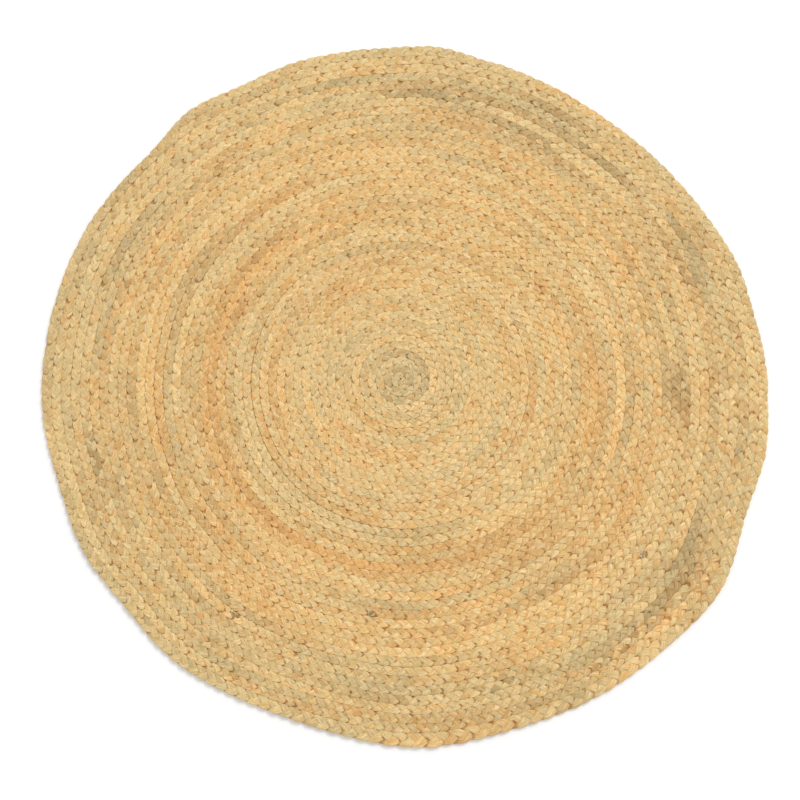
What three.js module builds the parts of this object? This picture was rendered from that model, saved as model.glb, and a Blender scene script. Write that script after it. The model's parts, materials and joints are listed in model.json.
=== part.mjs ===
// A round braided jute rug, 1.2 m across.
//
// One flat three-strand plait winds outwards in a flat spiral, and sewing yarn laces each turn to the
// next from below. The plait is worked in lengths that follow one another end to end. It starts in a small
// coil at the centre and finishes in a thinned tail, sewn down against the turn inside it.
//
// Millimetres, +Z up. The floor is z = 0, and the origin is under the middle of the rug's box. Seen from
// above, the plait winds anticlockwise from the centre to the rim.

import * as THREE from 'three';

// ---- Driving dimensions ------------------------------------------------------------------------------

const TURNS = 42; // from the centre to the tail's tip
const FIRST_WIDTH = 13.2; // of the plait, at the centre
const WIDTH_GAIN = 0.06; // how much wider each turn is than the one inside it
const THICKNESS = 8; // of the plait, and so of the rug
const UNDERCUT = 2.6; // how far each side of the plait leans in by its underside
const COIL_HEART = 0.12; // turns at the very centre that are too tight to follow
const GAP = 0.3; // between pieces that touch
const STEPS_PER_TURN = 32;
const TAIL_STEPS_PER_TURN = 128; // finer, so that the tail thins smoothly

const COIL_CENTRE = new THREE.Vector2(-7.6, -22.3); // from the middle of the box
const TAIL_ANGLE = 136.5; // degrees from +X, the direction of the tail's tip
const TAIL_TAPER = 10; // degrees of turn over which the tail thins
const TAIL_TIP = 0.15; // the tip's width, as a share of the plait's

const YARN_WIDTH = 2.4; // of the sewing yarn, in the groove under each seam
const YARN_HEIGHT = 2.2;
const YARN_CLEARANCE = 0.4; // between the yarn and the floor

// The rim isn't a true circle, and isn't quite round the coil's centre. Each bulge has a direction and a
// spread in degrees, and a reach in millimetres, which is negative for a flat or a dent. Both the bulges
// and the drift fade towards the centre.
const RIM_RADIUS = 600;
const RIM_DRIFT = new THREE.Vector2(-2.5, 21); // from the coil's centre to the middle of the rim
const BULGE_FADE = 3;
const BULGES = [
  { at: 2, reach: 10, spread: 9 },
  { at: 19, reach: 7, spread: 7 },
  { at: 52, reach: -13, spread: 22 },
  { at: 84, reach: 8, spread: 5 },
  { at: 117, reach: -7, spread: 6 },
  { at: 155, reach: 4, spread: 12 },
  { at: 199, reach: -10, spread: 10 },
  { at: 220, reach: -12, spread: 9 },
  { at: 249, reach: -11, spread: 18 },
  { at: 273, reach: 8, spread: 10 },
  { at: 310, reach: 14, spread: 21 },
  { at: 326, reach: 18, spread: 10 },
  { at: 348, reach: 13, spread: 8 },
];

// Nor is the last turn the same width all the way round. Each spread has a direction and a spread in
// degrees, and a reach in millimetres by which the turn is wider there. The turns inside make room for it.
const LAST_TURN_SPREADS = [
  { at: 275, reach: 6, spread: 38 },
  { at: 193, reach: -3, spread: 16 },
  { at: 2, reach: -3.5, spread: 22 },
];
const SPREAD_FADE = 3; // turns

// The turns at which one length of plait gives way to the next, and one length of sewing yarn to the next.
const PLAIT_ENDS = [
  1, 3.3, 5.9, 9.2, 12.4, 14.9, 17.4, 20.5, 22.8, 25.2, 27.9, 30.4, 32.8, 35.1, 37.3, 39.4, 41.2, 41.95,
];
const YARN_ENDS = [1, 8.1, 13, 16.7, 20, 23.9, 27.2, 30.1, 33.4, 36.2, 38.7, 40.96];

// ---- Materials ---------------------------------------------------------------------------------------

function jute(colour) {
  return new THREE.MeshStandardMaterial({ color: colour, roughness: 0.85, metalness: 0 });
}

const STRAW = 0xdbb97e;
const ORANGE_TAN = 0xd8ae71;
const GREY_STRAW = 0xd0b27f;
const OLIVE_TAN = 0xd3b27a;
const YARN_TAN = 0xc9a263;

// The colour of each length of plait, from the centre outwards.
const PLAIT_COLOURS = [
  GREY_STRAW, GREY_STRAW, STRAW, STRAW, STRAW, GREY_STRAW, STRAW, ORANGE_TAN, ORANGE_TAN,
  STRAW, STRAW, ORANGE_TAN, STRAW, OLIVE_TAN, OLIVE_TAN, STRAW, OLIVE_TAN,
];

// ---- The spiral --------------------------------------------------------------------------------------

// What a list of bulges or spreads adds up to in one direction.
function reachAt(degrees, bulges) {
  return bulges.reduce((sum, bulge) => {
    const away = THREE.MathUtils.euclideanModulo(degrees - bulge.at + 180, 360) - 180;
    return sum + bulge.reach * Math.exp(-((away / bulge.spread) ** 2));
  }, 0);
}

// A corner of the seam outside the plait, a whole number of steps from the coil's centre.
function seamCorner(step) {
  const turn = Math.max(step, 0) / STEPS_PER_TURN;
  const degrees = TAIL_ANGLE + 360 * (step / STEPS_PER_TURN - TURNS);
  const round = FIRST_WIDTH * turn + (WIDTH_GAIN * turn ** 2) / 2;
  const angle = THREE.MathUtils.degToRad(degrees);
  const outwards = new THREE.Vector2(Math.cos(angle), Math.sin(angle));
  const reach = reachAt(degrees, BULGES) + RIM_DRIFT.dot(outwards);
  const bulge = reach * (round / RIM_RADIUS) ** BULGE_FADE;
  const insideLastTurn = turn - (TURNS - 1);
  const room = insideLastTurn > 0 ? 0 : Math.exp(insideLastTurn / SPREAD_FADE);
  const radius = round + bulge - reachAt(degrees, LAST_TURN_SPREADS) * room;
  return outwards.multiplyScalar(radius);
}

// Any point of that seam. Every piece follows the same straight steps, so that neighbours nest.
function seamPoint(turn) {
  const step = turn * STEPS_PER_TURN;
  const whole = Math.floor(step + 1e-9);
  return seamCorner(whole).lerp(seamCorner(whole + 1), step - whole);
}

function plaitWidthShare(turn) {
  const intoTaper = 1 - ((TURNS - turn) * 360) / TAIL_TAPER;
  return THREE.MathUtils.lerp(1, TAIL_TIP, THREE.MathUtils.smoothstep(intoTaper, 0, 1));
}

// The turn numbers at which a piece from one turn to another needs a section.
function turnsBetween(first, last, perTurn) {
  const turns = [first];
  for (let step = Math.floor(first * perTurn) + 1; step < last * perTurn; step += 1) {
    turns.push(step / perTurn);
  }
  turns.push(last);
  return turns;
}

// ---- Solids ------------------------------------------------------------------------------------------

// A closed solid through matching sections, whose points run clockwise seen along the sweep.
function loft(sections) {
  const sides = sections[0].length;
  const positions = sections.flat().flatMap((point) => [point.x, point.y, point.z]);
  const index = [];
  for (let section = 0; section < sections.length - 1; section += 1) {
    for (let side = 0; side < sides; side += 1) {
      const here = section * sides + side;
      const beside = section * sides + ((side + 1) % sides);
      index.push(here, beside, beside + sides);
      index.push(here, beside + sides, here + sides);
    }
  }
  const end = (sections.length - 1) * sides;
  for (let side = 1; side < sides - 1; side += 1) {
    index.push(0, side + 1, side);
    index.push(end, end + side, end + side + 1);
  }
  const geometry = new THREE.BufferGeometry();
  geometry.setAttribute('position', new THREE.Float32BufferAttribute(positions, 3));
  geometry.setIndex(index);
  geometry.computeVertexNormals();
  return geometry;
}

// Across the plait at one turn: wide above and undercut below, where the sewing yarn runs.
function plaitSection(turn) {
  const inner = seamPoint(turn - 1);
  const outer = seamPoint(turn);
  const across = outer.clone().sub(inner);
  const width = across.length() * plaitWidthShare(turn);
  const undercut = Math.min(UNDERCUT, width / 4);
  across.normalize();
  const place = (distance, z) => {
    const point = inner.clone().addScaledVector(across, distance);
    return new THREE.Vector3(point.x, point.y, z);
  };
  return [
    place(GAP / 2, THICKNESS),
    place(width - GAP / 2, THICKNESS),
    place(width - GAP / 2 - undercut, 0),
    place(GAP / 2 + undercut, 0),
  ];
}

// The plait's first end, folded in on itself: a coil of one turn, with a step where the next turn starts.
function coilStart() {
  const outline = turnsBetween(COIL_HEART, 1, STEPS_PER_TURN).map((turn) => {
    const point = seamPoint(turn);
    return point.setLength(point.length() - GAP / 2);
  });
  const alongStep = seamPoint(1).normalize();
  const clearOfStep = new THREE.Vector2(alongStep.y, -alongStep.x).multiplyScalar(GAP);
  outline.at(-1).add(clearOfStep);
  outline.push(clearOfStep);
  return new THREE.ExtrudeGeometry(new THREE.Shape(outline), { depth: THICKNESS, bevelEnabled: false });
}

// Across the sewing yarn: a triangle with its base down, in the groove under the seam.
function yarnSection(turn) {
  const middle = seamPoint(turn);
  const across = middle.clone().sub(seamPoint(turn - 1)).normalize();
  const place = (distance, z) => {
    const point = middle.clone().addScaledVector(across, distance);
    return new THREE.Vector3(point.x, point.y, z);
  };
  return [
    place(0, YARN_CLEARANCE + YARN_HEIGHT),
    place(YARN_WIDTH / 2, YARN_CLEARANCE),
    place(-YARN_WIDTH / 2, YARN_CLEARANCE),
  ];
}

// A length of plait or of yarn from one turn to another, cut back a little at each end to clear the next.
function lengthOf(section, first, last, perTurn = STEPS_PER_TURN) {
  const cutBack = GAP / 2 / (2 * Math.PI * seamPoint(first).length());
  return loft(turnsBetween(first + cutBack, last - cutBack, perTurn).map(section));
}

// ---- Assembly ----------------------------------------------------------------------------------------

const rug = new THREE.Group();
rug.position.set(COIL_CENTRE.x, COIL_CENTRE.y, 0);

function add(name, geometry, colour) {
  const mesh = new THREE.Mesh(geometry, jute(colour));
  mesh.name = name;
  rug.add(mesh);
}

function numbered(name, number) {
  return `${name}_${String(number).padStart(2, '0')}`;
}

add('coil_start', coilStart(), GREY_STRAW);
PLAIT_COLOURS.forEach((colour, index) => {
  const [first, last] = PLAIT_ENDS.slice(index, index + 2);
  add(numbered('plait_length', index + 1), lengthOf(plaitSection, first, last), colour);
});
add('outer_tail', lengthOf(plaitSection, PLAIT_ENDS.at(-1), TURNS, TAIL_STEPS_PER_TURN), OLIVE_TAN);
YARN_ENDS.slice(1).forEach((last, index) => {
  add(numbered('lacing_yarn', index + 1), lengthOf(yarnSection, YARN_ENDS[index], last), YARN_TAN);
});

export default rug;
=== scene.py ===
"""A round braided jute rug: the strands of its plait, worked over and under, wound and laced in a spiral."""

import json
import math
from collections import namedtuple

import bpy
import numpy as np
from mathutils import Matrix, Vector


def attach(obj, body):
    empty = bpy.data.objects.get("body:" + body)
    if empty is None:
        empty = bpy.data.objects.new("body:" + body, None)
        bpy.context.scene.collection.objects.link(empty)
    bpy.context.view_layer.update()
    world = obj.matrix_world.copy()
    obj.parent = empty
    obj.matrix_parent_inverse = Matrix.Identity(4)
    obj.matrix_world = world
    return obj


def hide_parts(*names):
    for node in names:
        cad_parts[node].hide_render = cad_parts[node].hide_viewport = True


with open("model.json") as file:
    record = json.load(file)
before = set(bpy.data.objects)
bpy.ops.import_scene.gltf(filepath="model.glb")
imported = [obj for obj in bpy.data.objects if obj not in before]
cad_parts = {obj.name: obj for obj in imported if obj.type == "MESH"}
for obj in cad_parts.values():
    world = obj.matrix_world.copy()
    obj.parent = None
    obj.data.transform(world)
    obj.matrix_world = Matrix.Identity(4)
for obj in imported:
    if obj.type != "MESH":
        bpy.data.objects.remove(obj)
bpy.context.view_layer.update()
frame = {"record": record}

MM = 0.001

# ---- Camera -------------------------------------------------------------------------------------------

AIM = Vector((-8.4 * MM, -57.4 * MM, 0))
CAMERA_DISTANCE = 1.745
CAMERA_ELEVATION = math.radians(74.8)
LENS = 47.2  # mm
SENSOR_WIDTH = 36  # mm


def add_camera():
    data = bpy.data.cameras.new("camera")
    data.lens = LENS
    data.sensor_width = SENSOR_WIDTH
    camera = bpy.data.objects.new("camera", data)
    bpy.context.scene.collection.objects.link(camera)
    towards = Vector((0, -math.cos(CAMERA_ELEVATION), math.sin(CAMERA_ELEVATION)))
    camera.location = AIM + CAMERA_DISTANCE * towards
    camera.rotation_euler = (math.pi / 2 - CAMERA_ELEVATION, 0, 0)
    bpy.context.scene.camera = camera


add_camera()

# ---- The spiral, as the CAD winds it ------------------------------------------------------------------

TURNS = 42
FIRST_WIDTH = 13.2 * MM
WIDTH_GAIN = 0.06 * MM
THICKNESS = 8 * MM
COIL_CENTRE = np.array((-7.6, -22.3)) * MM
TAIL_ANGLE = 136.5  # degrees
TAIL_TAPER = 10  # degrees
TAIL_TIP = 0.15  # the tip's width, as a share of the plait's
RIM_RADIUS = 600 * MM
RIM_DRIFT = np.array((-2.5, 21)) * MM  # from the coil's centre to the middle of the rim
BULGE_FADE = 3  # the power of the radius with which the rim's shape fades towards the centre
SPREAD_FADE = 3  # turns over which the last turn's spreads fade inwards
RIM_ONSET = 0.03  # turns over which the plait comes out from behind the tail and becomes the rim

# Direction in degrees, reach, spread in degrees.
BULGES = [
    (2, 10 * MM, 9),
    (19, 7 * MM, 7),
    (52, -13 * MM, 22),
    (84, 8 * MM, 5),
    (117, -7 * MM, 6),
    (155, 4 * MM, 12),
    (199, -10 * MM, 10),
    (220, -12 * MM, 9),
    (249, -11 * MM, 18),
    (273, 8 * MM, 10),
    (310, 14 * MM, 21),
    (326, 18 * MM, 10),
    (348, 13 * MM, 8),
]
# The same, for how much wider the last turn is there. The turns inside make room for it.
LAST_TURN_SPREADS = [(275, 6 * MM, 38), (193, -3 * MM, 16), (2, -3.5 * MM, 22)]

# The turns at which one length of plait gives way to the next, and one length of sewing yarn to the next.
PLAIT_ENDS = [1, 3.3, 5.9, 9.2, 12.4, 14.9, 17.4, 20.5, 22.8, 25.2, 27.9, 30.4, 32.8, 35.1, 37.3, 39.4]
PLAIT_ENDS += [41.2, 41.95]
YARN_ENDS = [1, 8.1, 13, 16.7, 20, 23.9, 27.2, 30.1, 33.4, 36.2, 38.7, 40.96]


def reach_at(degrees, bulges):
    total = np.zeros_like(degrees)
    for at, reach, spread in bulges:
        away = (degrees - at + 180) % 360 - 180
        total += reach * np.exp(-((away / spread) ** 2))
    return total


def seam_radius(turn, degrees):
    """Radius of the seam outside the plait at each turn number, and none inside the first turn."""
    turn = np.maximum(turn, 0)
    even = FIRST_WIDTH * turn + WIDTH_GAIN * turn**2 / 2
    angle = np.radians(degrees)
    drift = RIM_DRIFT[0] * np.cos(angle) + RIM_DRIFT[1] * np.sin(angle)
    bulge = (reach_at(degrees, BULGES) + drift) * (even / RIM_RADIUS) ** BULGE_FADE
    inside_last = turn - (TURNS - 1)
    room = np.where(inside_last > 0, 0, np.exp(np.minimum(inside_last, 0) / SPREAD_FADE))
    return even + bulge - reach_at(degrees, LAST_TURN_SPREADS) * room


# ---- The plait ----------------------------------------------------------------------------------------

STRANDS = 3
START_TURN = 0.22  # where the strands fan out of the coil's heart
PITCH = 3.4  # length in which a strand goes across and back, over the plait's width
TRACK_STEPS = 720  # per turn
PITCH_SPACING = 0.35  # metres of plait over which its pitch and its pressing wander
KNOTS = 250  # of both wanderings, enough for 87 m of plait
PITCH_WANDER = np.random.default_rng(7).normal(1, 0.06, KNOTS).clip(0.88, 1.12)
PRESS_WANDER = np.random.default_rng(8).normal(0, 0.035, KNOTS).clip(-0.08, 0.04)
LEAST_WIDTH = 3 * MM  # that the pitch follows, where the plait thins


class Track:
    """The middle line of the plait and its width, looked up by the phase of the strands or by the length."""

    def __init__(self):
        turn = np.arange(START_TURN * TRACK_STEPS, TURNS * TRACK_STEPS + 1) / TRACK_STEPS
        degrees = TAIL_ANGLE + 360 * (turn - TURNS)
        inner = seam_radius(turn - 1, degrees)
        width = seam_radius(turn, degrees) - inner
        into_taper = np.clip(1 - (TURNS - turn) * 360 / TAIL_TAPER, 0, 1)
        smooth = into_taper**2 * (3 - 2 * into_taper)
        width *= 1 + (TAIL_TIP - 1) * smooth
        angle = np.radians(degrees)
        radius = inner + width / 2
        self.turn = turn
        self.width = width
        self.x = COIL_CENTRE[0] + radius * np.cos(angle)
        self.y = COIL_CENTRE[1] + radius * np.sin(angle)
        dx, dy = np.gradient(self.x), np.gradient(self.y)
        step = np.hypot(dx, dy)
        self.out_x, self.out_y = dy / step, -dx / step
        self.length = np.concatenate(([0], np.cumsum(step[1:])))
        unevenness = np.interp(self.length, np.arange(KNOTS) * PITCH_SPACING, PITCH_WANDER)
        period = PITCH * np.maximum(width, LEAST_WIDTH) * unevenness
        self.phase = np.concatenate(([0], np.cumsum(2 * np.pi * step[1:] / period[1:])))

    def at(self, phase, *names):
        return [np.interp(phase, self.phase, getattr(self, name)) for name in names]

    def along(self, length, *names):
        return [np.interp(length, self.length, getattr(self, name)) for name in names]

    def phase_at_turn(self, turn):
        return float(np.interp(turn, self.turn, self.phase))


track = Track()

STEPS_PER_PERIOD = 24
SIDES = 12
SWING = 0.43  # how far a strand's middle goes from the plait's middle, over the plait's width
SWING_ROUNDING = -0.11  # below 0, a strand turns back sharply at the plait's edges
OVERSTEP = 0.18  # how much steeper a strand crosses on top than underneath
STRAND_WIDTH = 0.77  # over the plait's width
STRAND_HEIGHT = 0.52  # over the thickness
DIVE = 0.8  # below 1, a strand dives more steeply between on top and underneath
LIFT = 0.22  # how far a strand's middle goes above and below the middle, over the thickness
CROWN = 0.1  # how much the plait's faces fall away towards its edges
LOOSE_CROWN = 0.2  # the same, on the side where the turns lie loosest
EDGE_SWELLING = 0.6  # how much thicker a strand is where it turns back
TOP_SHIFT = 0.25  # in lobes, from a strand's crossing to where it is on top
SECTION_TURN = 0.7  # how far a strand's sections turn to follow it, short of folding at its bends
FLAT_POWER, TALL_POWER = 0.5, 0.3  # below 1, a section is boxier than an ellipse

FIRM = 0.8  # the share of the half width within which a strand lies freely; past it the edge squeezes it
FLAT_FIRM = 0.35  # the same for the half thickness: the plait is pressed flat
FLATTENING = 1.7  # 2 would leave the strands as thick as they lie before that
TIGHT_PRESS, LOOSE_PRESS = 1.03, 1.01  # above 1, neighbouring turns are pressed into each other
CENTRE_PRESS, CENTRE_TURNS = 0.06, 5  # added to that at the centre, and the turns over which it fades
RIM_SCALLOP = 0.4  # the share of the squeezing that is missing at the rim, where nothing presses
LOOSE_ANGLE = 172  # degrees, the side of the rug where the turns lie loosest

# Two long, low waves, each a product of two sines: radians per metre along x and y, and where it starts.
WAVES = [((9, 4, 1), (-7, 5, 0)), ((6, 13, 2), (11, 0, 0))]
WAVE_HEIGHT = 0.5 * MM

TUCK_SHADE_START, TUCK_SHADE_LENGTH = 0.45, 0.9  # the share of the lift below which a strand is painted darker as shade, and the share over which that painted shade deepens
EDGE_SHADE_LOSS = 0.75  # how much of that painted shade is missing at the plait's edges
STRAND_OFFSET = 7.3  # metres of fibre pattern between one strand and the next

# A piece's rings of points, and for each ring its place along the fibre, half width, tint and shares of
# painted shade where it lies tucked under.
Sections = namedtuple("Sections", "rings run half_width tint tuck")

# How much the lobes differ from each other, in the order of their random numbers.
VARIATION = {
    "swing": 0.06,
    "shift": 0.035,  # across, over the plait's width
    "lift": 0.18,
    "lean": 0.12,
    "width": 0.09,
    "height": 0.09,
    "phase": 0.2,  # radians by which lobes come early or late
}
rng = np.random.default_rng(42)
LOBES = int(track.phase[-1] / np.pi) + 8
LOBE_JITTER = np.clip(rng.normal(0, 1, (STRANDS, LOBES, len(VARIATION))), -2, 2)


def wandering(length, spacing):
    """Random numbers along the plait that change smoothly over a given spacing."""
    knots = int(track.length[-1] / spacing) + 2
    return np.interp(length / spacing, np.arange(knots), rng.normal(0, 1, knots))


BATCH_LENGTH = 1500 * MM  # of plait, over which the fibre's colour wanders
STREAK_LENGTH = 120 * MM
# How much a lobe's colour follows its batch, its streak, its strand's own streak and chance.
MEAN_WARMTH = 0.2
WARMTH_SHARES = (0.3, 0.5, 0.4, 0.5)
DARKNESS_SHARES = (0.2, 0.55, 0.35, 0.3)

# Rings of warmer or cooler plait: radius and breadth over the rim's, degrees to where it shows most, warmth.
WARM_RINGS = [
    (0.525, 0.022, 220, 2.0),
    (0.375, 0.012, 20, 0.9),
    (0.36, 0.012, 150, 0.5),
    (0.66, 0.03, 200, 0.5),
    (0.70, 0.03, 290, 0.5),
    (0.60, 0.015, 350, 0.5),
    (0.10, 0.10, 0, -0.7),
    (0.28, 0.05, 250, -0.3),
    (0.44, 0.03, 180, -0.5),
    (0.94, 0.07, 160, -0.5),
]
RING_STRENGTH = 1.3
RING_EVENNESS = 0.6  # the share of a ring's warmth that is the same all round
# Darker and lighter stretches: direction, radius over the rim's, spread in degrees, spread over the rim's
# radius, darkness.
TONE_STRETCHES = [
    (83, 0.90, 12, 0.018, 2.6),
    (58, 0.88, 18, 0.05, 2.0),
    (75, 0.92, 20, 0.06, 0.5),
    (104, 0.91, 3, 0.02, 2.0),
    (120, 0.90, 3, 0.02, 2.0),
    (130, 0.88, 8, 0.04, 0.7),
    (147, 0.66, 9, 0.015, 1.6),
    (148, 0.37, 6, 0.012, 1.4),
    (24, 0.90, 9, 0.07, 0.8),
    (-2, 0.77, 7, 0.03, 1.7),
    (-40, 0.92, 12, 0.05, 1.7),
    (-76, 0.85, 14, 0.012, 1.6),
    (185, 0.86, 17, 0.014, 1.6),
    (206, 0.84, 9, 0.05, 0.8),
    (250, 0.9, 20, 0.02, 0.6),
    (0, 0.0, 180, 0.06, 0.6),
    (0, 0.24, 360, 0.11, -0.5),
]
TONE_UNEVENNESS = 0.65
FLECK_CHANCE, FLECK_DIRT = 0.0007, (0.45, 0.85)
SMUDGE_CHANCE, SMUDGE_DIRT = 0.02, (0, 0.3)  # the chance is that of a fleck or a smudge


def lobe_tints():
    """Warmth, darkness and dirt of every lobe of the three strands."""
    lobe = np.arange(LOBES)
    tints = np.zeros((STRANDS, LOBES, 3))
    batch_knots = rng.normal(0, 1, (2, int(track.length[-1] / BATCH_LENGTH) + 2))
    streak_knots = rng.normal(0, 1, (2, int(track.length[-1] / STREAK_LENGTH) + 2))
    for strand in range(STRANDS):
        phase = (lobe - TOP_SHIFT) * np.pi - 2 * np.pi * strand / STRANDS
        length, x, y = track.at(phase, "length", "x", "y")
        batch = [np.interp(length / BATCH_LENGTH, np.arange(knots.size), knots) for knots in batch_knots]
        streak = [np.interp(length / STREAK_LENGTH, np.arange(knots.size), knots) for knots in streak_knots]
        own_streak = wandering(length, STREAK_LENGTH / 2)
        out = np.array((x, y)) - COIL_CENTRE[:, None]
        radius = np.hypot(*out) / RIM_RADIUS
        degrees = np.degrees(np.arctan2(out[1], out[0]))
        chance = rng.normal(0, 1, (2, LOBES))
        warmth = MEAN_WARMTH + np.dot(WARMTH_SHARES, (batch[0], streak[0], own_streak, chance[0]))
        darkness = np.dot(DARKNESS_SHARES, (batch[1], streak[1], own_streak, chance[1]))
        for at, breadth, warmest, amount in WARM_RINGS:
            facing = RING_EVENNESS + (1 - RING_EVENNESS) * np.cos(np.radians(degrees - warmest))
            warmth += RING_STRENGTH * amount * facing * np.exp(-(((radius - at) / breadth) ** 2))
        for at, distance, spread, breadth, amount in TONE_STRETCHES:
            away = (degrees - at + 180) % 360 - 180
            near = np.exp(-((away / spread) ** 2) - ((radius - distance) / breadth) ** 2)
            darkness += amount * near * (1 + TONE_UNEVENNESS * (streak[1] + own_streak))
        luck = rng.random(LOBES)
        fleck = rng.uniform(*FLECK_DIRT, LOBES)
        smudge = rng.uniform(*SMUDGE_DIRT, LOBES)
        dirt = np.where(luck < FLECK_CHANCE, fleck, np.where(luck < SMUDGE_CHANCE, smudge, 0))
        tints[strand] = np.stack((warmth, darkness, dirt), axis=1)
    return tints


LOBE_TINT = lobe_tints()


def varied(strand, lobe, what):
    """How far a strand is from its usual swing, width or lift, changing smoothly from lobe to lobe."""
    jitter = LOBE_JITTER[strand, :, list(VARIATION).index(what)]
    return VARIATION[what] * np.interp(lobe, np.arange(LOBES), jitter)


def squeezed(share, firm):
    """Places given as shares of half a width or height, pressed back inside it past the firm share."""
    past = (np.abs(share) - firm) / (1 - firm)
    return np.where(past > 0, np.sign(share) * (firm + (1 - firm) * np.tanh(past)), share)


def looseness(x, y):
    """From 0 where the turns are laced tight to 1 where they lie loose."""
    away = np.arctan2(y, x) - math.radians(LOOSE_ANGLE)
    outward = np.clip(np.hypot(x, y) / RIM_RADIUS, 0, 1)
    return (0.5 + 0.5 * np.cos(away)) ** 2 * outward


def lie(x, y):
    """How far the rug lifts off the floor."""
    waves = [np.sin(a * x + b * y + c) * np.sin(d * x + e * y + f) for (a, b, c), (d, e, f) in WAVES]
    return WAVE_HEIGHT * (1 + sum(waves) / len(waves))


def strand_rings(first, last, strand):
    """Sections of one strand from one phase of the plait to another."""
    count = max(int(round((last - first) / (2 * np.pi) * STEPS_PER_PERIOD)), 2)
    phase = np.linspace(first, last, count + 1)
    length, width, x, y, turn = track.at(phase, "length", "width", "x", "y", "turn")
    loose = looseness(x, y)
    own = phase + 2 * np.pi * strand / STRANDS
    # Each strand is on top once in every half period, in the middle of its lobe.
    lobe = own / np.pi + TOP_SHIFT
    own = own + varied(strand, lobe, "phase")
    ahead = own + OVERSTEP * np.cos(2 * own)
    swing = (np.sin(ahead) + SWING_ROUNDING * np.sin(3 * ahead)) / (1 - SWING_ROUNDING)
    lift = -np.sin(2 * (own + OVERSTEP))
    lift = np.sign(lift) * np.abs(lift) ** DIVE
    small = np.minimum(width / FIRST_WIDTH, 1)
    across = width * (SWING * swing * (1 + varied(strand, lobe, "swing")) + varied(strand, lobe, "shift"))
    height = THICKNESS * LIFT * lift * (1 + varied(strand, lobe, "lift")) * small
    # Here and below, a point is (along the plait, across it, above its middle).
    middle = np.stack((length, across, height), axis=1)
    along = np.gradient(middle, axis=0) * (1, SECTION_TURN, 1)
    along /= np.linalg.norm(along, axis=1, keepdims=True)
    lean = (CROWN + (LOOSE_CROWN - CROWN) * loose) * swing * lift + varied(strand, lobe, "lean")
    up = np.stack((np.zeros_like(lean), lean, np.ones_like(lean)), axis=1)
    side = np.cross(up, along)
    side /= np.linalg.norm(side, axis=1, keepdims=True)
    up = np.cross(along, side)
    turning = swing**4
    half_width = width * STRAND_WIDTH / 2 * (1 + varied(strand, lobe, "width"))
    half_height = THICKNESS * STRAND_HEIGHT / 2 * (1 + EDGE_SWELLING * turning) * small
    half_height *= 1 + varied(strand, lobe, "height")
    around = np.linspace(0, 2 * np.pi, SIDES, endpoint=False)
    flat = np.sign(np.cos(around)) * np.abs(np.cos(around)) ** FLAT_POWER
    tall = np.sign(np.sin(around)) * np.abs(np.sin(around)) ** TALL_POWER
    rings = (
        middle[:, None, :]
        + side[:, None, :] * (half_width[:, None] * flat)[:, :, None]
        + up[:, None, :] * (half_height[:, None] * tall)[:, :, None]
    )
    press = TIGHT_PRESS + (LOOSE_PRESS - TIGHT_PRESS) * loose
    press += np.interp(length, np.arange(KNOTS) * PITCH_SPACING, PRESS_WANDER)
    press += CENTRE_PRESS * np.exp(-turn / CENTRE_TURNS)
    at_rim = np.clip((turn - (TURNS - 1)) / RIM_ONSET, 0, 1)
    rings = laid_along(rings, width * press, at_rim)
    tint = LOBE_TINT[strand, np.floor(lobe + 0.5).astype(int) % LOBES]
    # Painted shade: the colour darkens where a strand's surface lies low, under the strands crossing it, less
    # so at the plait's edges.
    shown = lift[:, None] * tall
    tuck = np.clip((TUCK_SHADE_START - shown) / TUCK_SHADE_LENGTH, 0, 1) * (1 - EDGE_SHADE_LOSS * turning[:, None])
    return Sections(rings, length + strand * STRAND_OFFSET, half_width, tint, tuck)


def laid_along(points, width, at_rim):
    """Points given along, across and above the plait, squeezed into it and laid along the spiral."""
    length, across, height = np.moveaxis(points, 2, 0)
    half = width[:, None] / 2
    pressed = half * squeezed(across / half, FIRM)
    across = pressed + RIM_SCALLOP * at_rim[:, None] * np.maximum(across - pressed, 0)
    height = THICKNESS / 2 * squeezed(height * FLATTENING / THICKNESS, FLAT_FIRM)
    x, y, out_x, out_y = track.along(length, "x", "y", "out_x", "out_y")
    x, y = x + out_x * across, y + out_y * across
    height = np.maximum(THICKNESS / 2 + height, 0)
    return np.stack((x, y, height + lie(x, y)), axis=2)


# the UV map that the export bakes onto; without one it would cut each strand to crumbs
BAKE_MAP = "OFBake"  # the name of each strand's UV map, laid out in strips
MAP_MARGIN = 0.08  # of a strip's height, kept empty at each side


def strip_map(mesh, count, sides, length, girth):
    """Unwraps a tube into level strips, stacked one above another, with its caps at their ends."""
    strips = max(int(math.sqrt(length / girth)), 1)
    rings_per_strip = math.ceil((count - 1) / strips)
    ring, side = np.meshgrid(np.arange(count - 1), np.arange(sides), indexing="ij")
    strip = ring // rings_per_strip
    start = (ring % rings_per_strip) / rings_per_strip
    end = start + 1 / rings_per_strip
    inner = 1 - 2 * MAP_MARGIN
    low = (strip + MAP_MARGIN + inner * side / sides) / strips
    high = (strip + MAP_MARGIN + inner * (side + 1) / sides) / strips
    quads = np.stack((start, low, start, high, end, high, end, low), axis=2).ravel()
    cap = np.stack((np.zeros(sides), low[0]), axis=1).ravel()
    uv = np.concatenate((quads, cap, cap)).astype(np.float32)
    mesh.uv_layers.new(name=BAKE_MAP).data.foreach_set("uv", uv)


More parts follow.
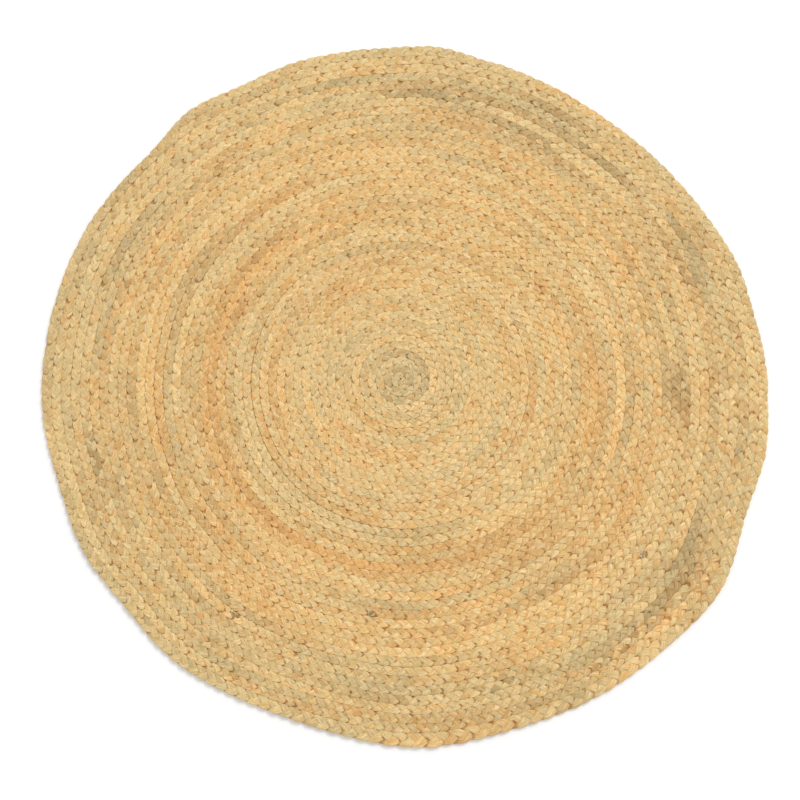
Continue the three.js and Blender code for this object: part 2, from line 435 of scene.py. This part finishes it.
def tube(name, sections, material):
    """A closed mesh through a strand's sections, with its fibres' coordinates, its lobes' tints and its
    painted shade.
    """
    rings, run, half_width, tint, tuck = sections
    count, sides = rings.shape[:2]
    ring = np.arange(count - 1)[:, None] * sides
    here = ring + np.arange(sides)
    beside = ring + (np.arange(sides) + 1) % sides
    quads = np.stack((here, beside, beside + sides, here + sides), axis=2)
    start_cap = np.arange(sides)[::-1]
    end_cap = (count - 1) * sides + np.arange(sides)
    corners = np.concatenate((quads.ravel(), start_cap, end_cap)).astype(np.int32)
    faces = quads.shape[0] * quads.shape[1]
    starts = np.concatenate((np.arange(faces) * 4, [quads.size, quads.size + sides])).astype(np.int32)
    mesh = bpy.data.meshes.new(name)
    mesh.vertices.add(count * sides)
    mesh.vertices.foreach_set("co", rings.astype(np.float32).ravel())
    mesh.loops.add(len(corners))
    mesh.loops.foreach_set("vertex_index", corners)
    mesh.polygons.add(len(starts))
    mesh.polygons.foreach_set("loop_start", starts)
    mesh.polygons.foreach_set("use_smooth", np.ones(len(starts), bool))
    mesh.update(calc_edges=True)
    around = np.linspace(0, 2 * np.pi, sides, endpoint=False)
    fibre = np.zeros((count, sides, 3), np.float32)
    fibre[:, :, 0] = run[:, None]
    fibre[:, :, 1] = half_width[:, None] * np.cos(around)
    fibre[:, :, 2] = half_width[:, None] * np.sin(around) / 2
    tint = np.repeat(tint[:, None, :], sides, axis=1).astype(np.float32)
    mesh.attributes.new("fibre", "FLOAT_VECTOR", "POINT").data.foreach_set("vector", fibre.ravel())
    mesh.attributes.new("tint", "FLOAT_VECTOR", "POINT").data.foreach_set("vector", tint.ravel())
    mesh.attributes.new("tuck", "FLOAT", "POINT").data.foreach_set("value", tuck.astype(np.float32).ravel())
    strip_map(mesh, count, sides, run[-1] - run[0], 4 * half_width.mean())
    mesh.materials.append(material)
    piece = bpy.data.objects.new(name, mesh)
    bpy.context.scene.collection.objects.link(piece)
    return piece


# ---- Materials ----------------------------------------------------------------------------------------


class Nodes:
    """A short way to add and join the shader nodes of one material."""

    def __init__(self, material):
        material.use_nodes = True
        self.tree = material.node_tree
        self.shader = self.tree.nodes["Principled BSDF"]

    def add(self, kind, inputs=(), **settings):
        node = self.tree.nodes.new("ShaderNode" + kind)
        for key, value in settings.items():
            setattr(node, key, value)
        for key, value in dict(inputs).items():
            self.feed(node.inputs[key], value)
        return node

    def feed(self, socket, value):
        if isinstance(value, bpy.types.NodeSocket):
            self.tree.links.new(value, socket)
        else:
            socket.default_value = value

    def attribute(self, name, output):
        return self.add("Attribute", attribute_name=name).outputs[output]

    def maths(self, operation, *values):
        return self.add("Math", enumerate(values), operation=operation).outputs[0]

    def line(self, value, low, high, to_low=0.0, to_high=1.0, kind="LINEAR"):
        """A value between low and high, brought to between to_low and to_high."""
        inputs = {"Value": value, "From Min": low, "From Max": high, "To Min": to_low, "To Max": to_high}
        return self.add("MapRange", inputs, interpolation_type=kind).outputs["Result"]

    def band(self, value, low, high, to_low=0.0, to_high=1.0):
        """The same, with a soft start and stop."""
        return self.line(value, low, high, to_low, to_high, "SMOOTHSTEP")

    def noise(self, vector, scale, detail, roughness):
        inputs = {"Vector": vector, "Scale": scale, "Detail": detail, "Roughness": roughness}
        return self.add("TexNoise", inputs).outputs["Fac"]

    def stretched(self, vector, scale):
        inputs = {"Vector": vector, "Scale": scale}
        return self.add("Mapping", inputs).outputs["Vector"]

    def mix(self, share, first, second, blend="MIX"):
        # The node's colours are its seventh and eighth inputs and its third output.
        node = self.add("Mix", data_type="RGBA", blend_type=blend)
        self.feed(node.inputs["Factor"], share)
        self.feed(node.inputs[6], first)
        self.feed(node.inputs[7], second)
        return node.outputs[2]

    def darkened(self, colour, light):
        """A colour times a grey of the given light."""
        grey = self.add("CombineColor", {0: light, 1: light, 2: light})
        return self.mix(1.0, colour, grey.outputs[0], "MULTIPLY")


def opaque(colour):
    return (*colour, 1)


MOST_WARMTH = 2  # and as much the other way, where it is coolest
# The fibre's colour, from its coolest at 0 to its warmest at 1.
WARMTH_COLOURS = [
    (0.0, (0.58, 0.44, 0.21)),
    (0.3, (0.70, 0.52, 0.24)),
    (0.5, (0.725, 0.505, 0.22)),
    (0.7, (0.74, 0.465, 0.18)),
    (1.0, (0.71, 0.38, 0.12)),
]
PALE = (0.95, 0.725, 0.42)
DULL = (0.61, 0.395, 0.12)
BARK = (0.13, 0.075, 0.035)
# SHADE is painted shade: the colour that the low, covered stretches of each strand are darkened towards.
SHADE = (0.52, 0.26, 0.06)
FIBRE_STRENGTH, BARK_STRENGTH, SHADE_STRENGTH = 0.55, 0.75, 0.7
# Of the patterns, per metre along a strand and across it, or the same each way.
RIBBON_SCALE = (45, 420, 420)
FIBRE_SCALE = (70, 900, 900)
HAIR_SCALE = (260, 5200, 5200)
BLOTCH_SCALE, CRUMB_SCALE = 160.0, 420.0
BUMP_STRENGTH, BUMP_DISTANCE = 0.7, 0.5 * MM


def warmth_ramp(nodes, warmth):
    ramp = nodes.add("ValToRGB", {"Fac": nodes.line(warmth, -MOST_WARMTH, MOST_WARMTH)})
    stops = ramp.color_ramp.elements
    # A new ramp has its first two stops.
    for number, (place, colour) in enumerate(WARMTH_COLOURS):
        stop = stops[number] if number < 2 else stops.new(place)
        stop.position = place
        stop.color = opaque(colour)
    return ramp.outputs["Color"]


def jute(name, cast):
    """Straw, warmer or darker lobe by lobe, with pale and dull fibres along each strand, brown flecks, and
    painted shade where a strand runs under the others.
    """
    material = bpy.data.materials.new(name)
    nodes = Nodes(material)
    fibre = nodes.attribute("fibre", "Vector")
    tint = nodes.add("SeparateXYZ", {"Vector": nodes.attribute("tint", "Vector")})
    warmth, darkness, dirt = (tint.outputs[axis] for axis in "XYZ")
    tuck = nodes.attribute("tuck", "Fac")
    ribbons = nodes.noise(nodes.stretched(fibre, RIBBON_SCALE), 1.0, 2.0, 0.5)
    fibres = nodes.noise(nodes.stretched(fibre, FIBRE_SCALE), 1.0, 3.0, 0.6)
    hairs = nodes.noise(nodes.stretched(fibre, HAIR_SCALE), 1.0, 2.0, 0.5)
    blotches = nodes.noise(fibre, BLOTCH_SCALE, 3.0, 0.6)

    warmer = nodes.maths("ADD", warmth, nodes.line(ribbons, 0.3, 0.7, -2.0, 2.0))
    base = nodes.mix(1.0, warmth_ramp(nodes, warmer), opaque(cast), "MULTIPLY")
    base = nodes.mix(nodes.band(fibres, 0.48, 0.66, 0.0, FIBRE_STRENGTH), base, opaque(PALE))
    base = nodes.mix(nodes.band(fibres, 0.52, 0.34, 0.0, FIBRE_STRENGTH), base, opaque(DULL))
    darker = nodes.maths("ADD", darkness, nodes.line(blotches, 0.3, 0.7, -0.8, 0.8))
    light = nodes.band(darker, -2.0, 3.5, 1.1, 0.65)
    light = nodes.maths("MULTIPLY", light, nodes.line(hairs, 0.3, 0.7, 0.8, 1.2))
    base = nodes.darkened(base, light)
    crumbs = nodes.noise(fibre, CRUMB_SCALE, 2.0, 0.6)
    dirty = nodes.maths("ADD", dirt, nodes.line(crumbs, 0.35, 0.65, -0.4, 0.4))
    base = nodes.mix(nodes.band(dirty, 0.55, 0.95, 0.0, BARK_STRENGTH), base, opaque(BARK))
    # Painted shade: darker, browner colour where a strand runs low under the others.
    shaded_share = nodes.band(tuck, 0.3, 1.0, 0.0, SHADE_STRENGTH)
    base = nodes.mix(shaded_share, base, opaque(SHADE), "MULTIPLY")
    nodes.feed(nodes.shader.inputs["Base Color"], base)

    relief = nodes.maths("ADD", nodes.maths("MULTIPLY", hairs, 0.5), fibres)
    bump = nodes.add("Bump", {"Height": relief, "Strength": BUMP_STRENGTH, "Distance": BUMP_DISTANCE})
    nodes.feed(nodes.shader.inputs["Normal"], bump.outputs["Normal"])
    nodes.feed(nodes.shader.inputs["Roughness"], nodes.line(fibres, 0.3, 0.7, 0.85, 0.6))
    nodes.shader.inputs["Specular IOR Level"].default_value = 0.3
    nodes.shader.inputs["Sheen Weight"].default_value = 0.08
    nodes.shader.inputs["Sheen Roughness"].default_value = 0.5
    return material


# What each batch of jute does to the colours above.
CASTS = {
    "straw_jute": (1.0, 1.0, 1.0),
    "orange_tan_jute": (1.0, 0.975, 0.94),
    "grey_straw_jute": (0.985, 1.0, 1.04),
    "olive_tan_jute": (0.97, 0.98, 0.99),
    "sewing_yarn": (0.86, 0.84, 0.8),
}
MATERIALS = {slot: jute(slot, cast) for slot, cast in CASTS.items()}
SLOTS = {part["node"]: part["material_slot"] for part in frame["record"]["subparts"]}

# ---- Pieces -------------------------------------------------------------------------------------------


def hidden_phase(turn, strand):
    """The phase nearest to a turn number at which a strand is in the middle of a stretch underneath."""
    offset = 2 * np.pi * strand / STRANDS - np.pi * TOP_SHIFT
    lobes = round((track.phase_at_turn(turn) + offset) / np.pi)
    return lobes * np.pi - offset


def add_piece(name, node, sections):
    slot = SLOTS[node]
    piece = tube(name, sections, MATERIALS[slot])
    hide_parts(node)
    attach(piece, "root")


def add_strands(node, first_turn, last_turn, from_end=False, to_end=False):
    """The strands of a length. Each starts and stops where it is hidden, unless it is an end of the plait."""
    for strand in range(STRANDS):
        first = track.phase[0] if from_end else hidden_phase(first_turn, strand)
        last = track.phase[-1] if to_end else hidden_phase(last_turn, strand)
        add_piece(f"{node}_strand_{'abc'[strand]}", node, strand_rings(first, last, strand))


YARN_RADIUS = 0.75 * MM
YARN_SIDES = 6
YARN_STEPS = 14  # in each zigzag
ZIGZAGS_PER_PERIOD = STRANDS / 2  # one takes in two lobes of each edge
ZIGZAG_REACH = 2.6 * MM  # to each side of the seam
STITCH_LOW, STITCH_HIGH = 0.9 * MM, 3.2 * MM  # under the seam, and inside the plait's edges


def yarn_sections(first_turn, last_turn):
    """Sewing yarn that zigzags along the seam outside the plait, under it and up into the edges it joins."""
    first, last = track.phase_at_turn(first_turn), track.phase_at_turn(last_turn)
    zigzags = (last - first) / (2 * np.pi) * ZIGZAGS_PER_PERIOD
    phase = np.linspace(first, last, int(zigzags * YARN_STEPS) + 1)
    swing = np.sin((phase - first) * ZIGZAGS_PER_PERIOD)
    length, width, x, y, out_x, out_y = track.at(phase, "length", "width", "x", "y", "out_x", "out_y")
    across = width / 2 + ZIGZAG_REACH * swing
    x, y = x + out_x * across, y + out_y * across
    height = STITCH_LOW + (STITCH_HIGH - STITCH_LOW) * swing**2 + lie(x, y)
    middle = np.stack((x, y, height), axis=1)
    along = np.gradient(middle, axis=0)
    along /= np.linalg.norm(along, axis=1, keepdims=True)
    side = np.cross((0, 0, 1), along)
    side /= np.linalg.norm(side, axis=1, keepdims=True)
    up = np.cross(along, side)
    around = np.linspace(0, 2 * np.pi, YARN_SIDES, endpoint=False)[None, :, None]
    rings = middle[:, None] + YARN_RADIUS * (side[:, None] * np.cos(around) + up[:, None] * np.sin(around))
    count = len(phase)
    tint = np.zeros((count, 3))
    return Sections(rings, length, np.full(count, YARN_RADIUS), tint, np.zeros((count, YARN_SIDES)))


add_strands("coil_start", START_TURN, PLAIT_ENDS[0], from_end=True)
for number in range(1, len(PLAIT_ENDS)):
    add_strands(f"plait_length_{number:02d}", *PLAIT_ENDS[number - 1 : number + 1])
add_strands("outer_tail", PLAIT_ENDS[-1], TURNS, to_end=True)
for number in range(1, len(YARN_ENDS)):
    node = f"lacing_yarn_{number:02d}"
    add_piece(f"{node}_zigzag", node, yarn_sections(*YARN_ENDS[number - 1 : number + 1]))

# ---- Floor and light ----------------------------------------------------------------------------------

FLOOR_SIZE = 12
FLOOR_COLOUR = (0.95, 0.95, 0.95)
SKY_STRENGTH = 0.80
KEY_PLACE = (6.0, 7.0, 11)
KEY_SIZE = 5.5
KEY_POWER = 850


def add_floor():
    bpy.ops.mesh.primitive_plane_add(size=FLOOR_SIZE)
    floor = bpy.context.object
    floor.name = "floor"
    material = bpy.data.materials.new("floor")
    material.use_nodes = True
    shader = material.node_tree.nodes["Principled BSDF"]
    shader.inputs["Base Color"].default_value = opaque(FLOOR_COLOUR)
    shader.inputs["Roughness"].default_value = 0.9
    floor.data.materials.append(material)


def add_area_light(name, place, size, power):
    data = bpy.data.lights.new(name, "AREA")
    data.size = size
    data.energy = power
    light = bpy.data.objects.new(name, data)
    bpy.context.scene.collection.objects.link(light)
    light.location = place
    light.rotation_euler = (-Vector(place)).to_track_quat("-Z", "Y").to_euler()


def add_sky():
    world = bpy.data.worlds.new("sky")
    bpy.context.scene.world = world
    world.use_nodes = True
    background = world.node_tree.nodes["Background"]
    background.inputs["Color"].default_value = (1, 1, 1, 1)
    background.inputs["Strength"].default_value = SKY_STRENGTH


add_floor()
add_sky()
add_area_light("key", KEY_PLACE, KEY_SIZE, KEY_POWER)
bpy.context.scene.view_settings.view_transform = "Standard"
